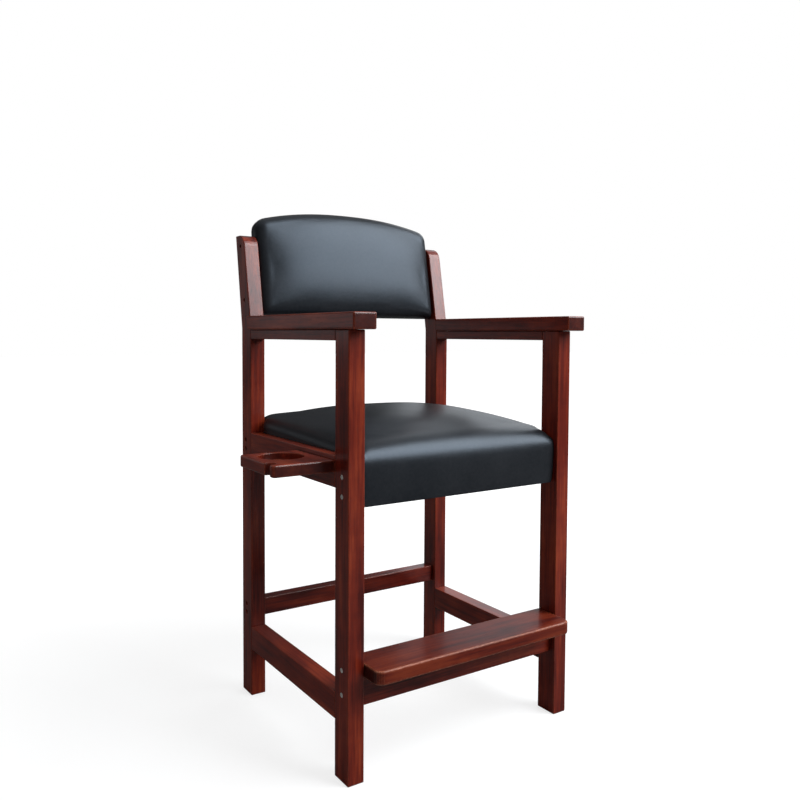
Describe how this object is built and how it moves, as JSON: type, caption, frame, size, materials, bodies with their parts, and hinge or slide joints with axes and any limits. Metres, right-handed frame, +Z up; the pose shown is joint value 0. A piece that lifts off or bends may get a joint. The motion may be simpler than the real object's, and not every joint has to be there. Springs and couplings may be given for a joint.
{
  "type": "billiard spectator chair",
  "caption": "Tall wooden armchair for watching billiards, with a padded seat and back, a footrest, and a side shelf with a cup recess and a cue notch.",
  "frame": {"origin": "middle of the bounding box, on the floor", "axes": "+Z up; a sitter faces -Y; +X to the right as seen from the front, so the drink shelf is on the -X side"},
  "size_m": [0.7674, 0.6294, 1.2478],
  "materials": {
    "mahogany": "dark reddish mahogany stain under a satin varnish",
    "plywood": "bare plywood",
    "beech": "bare hardwood",
    "vinyl": "smooth black upholstery vinyl with a soft sheen",
    "foam": "open-cell upholstery foam",
    "steel": "bright zinc-plated steel",
    "dark_steel": "black oxide on steel"
  },
  "bodies": {
    "root": {"arm_rail_left": "mahogany", "arm_rail_right": "mahogany", "arm_screw_left_1": "dark_steel", "arm_screw_left_2": "dark_steel", "arm_screw_right_1": "dark_steel", "arm_screw_right_2": "dark_steel", "armrest_left": "mahogany", "armrest_right": "mahogany", "back_cover": "vinyl", "back_foam": "foam", "back_lining": "vinyl", "back_panel": "plywood", "back_screw_left_1": "dark_steel", "back_screw_left_2": "dark_steel", "back_screw_right_1": "dark_steel", "back_screw_right_2": "dark_steel", "bolt_footrest_left_3": "steel", "bolt_footrest_right_3": "steel", "bolt_front_rail_left_1": "steel", "bolt_front_rail_left_2": "steel", "bolt_front_rail_right_1": "steel", "bolt_front_rail_right_2": "steel", "bolt_front_stretcher_left_4": "steel", "bolt_front_stretcher_right_4": "steel", "bolt_rear_rail_left_5": "dark_steel", "bolt_rear_rail_left_6": "dark_steel", "bolt_rear_rail_right_5": "dark_steel", "bolt_rear_rail_right_6": "dark_steel", "bolt_rear_stretcher_left_7": "dark_steel", "bolt_rear_stretcher_left_8": "dark_steel", "bolt_rear_stretcher_right_7": "dark_steel", "bolt_rear_stretcher_right_8": "dark_steel", "corner_block_front_left": "beech", "corner_block_front_right": "beech", "corner_block_rear_left": "beech", "corner_block_rear_right": "beech", "drink_shelf": "mahogany", "footrest": "mahogany", "front_leg_left": "mahogany", "front_leg_right": "mahogany", "front_stretcher": "mahogany", "rear_leg_left": "mahogany", "rear_leg_right": "mahogany", "rear_stretcher": "mahogany", "seat_board": "plywood", "seat_cover": "vinyl", "seat_foam": "foam", "seat_front_rail": "mahogany", "seat_rear_rail": "mahogany", "seat_screw_front_left": "dark_steel", "seat_screw_front_right": "dark_steel", "seat_screw_rear_left": "dark_steel", "seat_screw_rear_right": "dark_steel", "shelf_screw_1": "dark_steel", "shelf_screw_2": "dark_steel", "side_apron_left": "mahogany", "side_apron_right": "mahogany", "side_stretcher_left": "mahogany", "side_stretcher_right": "mahogany"}
  },
  "joints": []
}
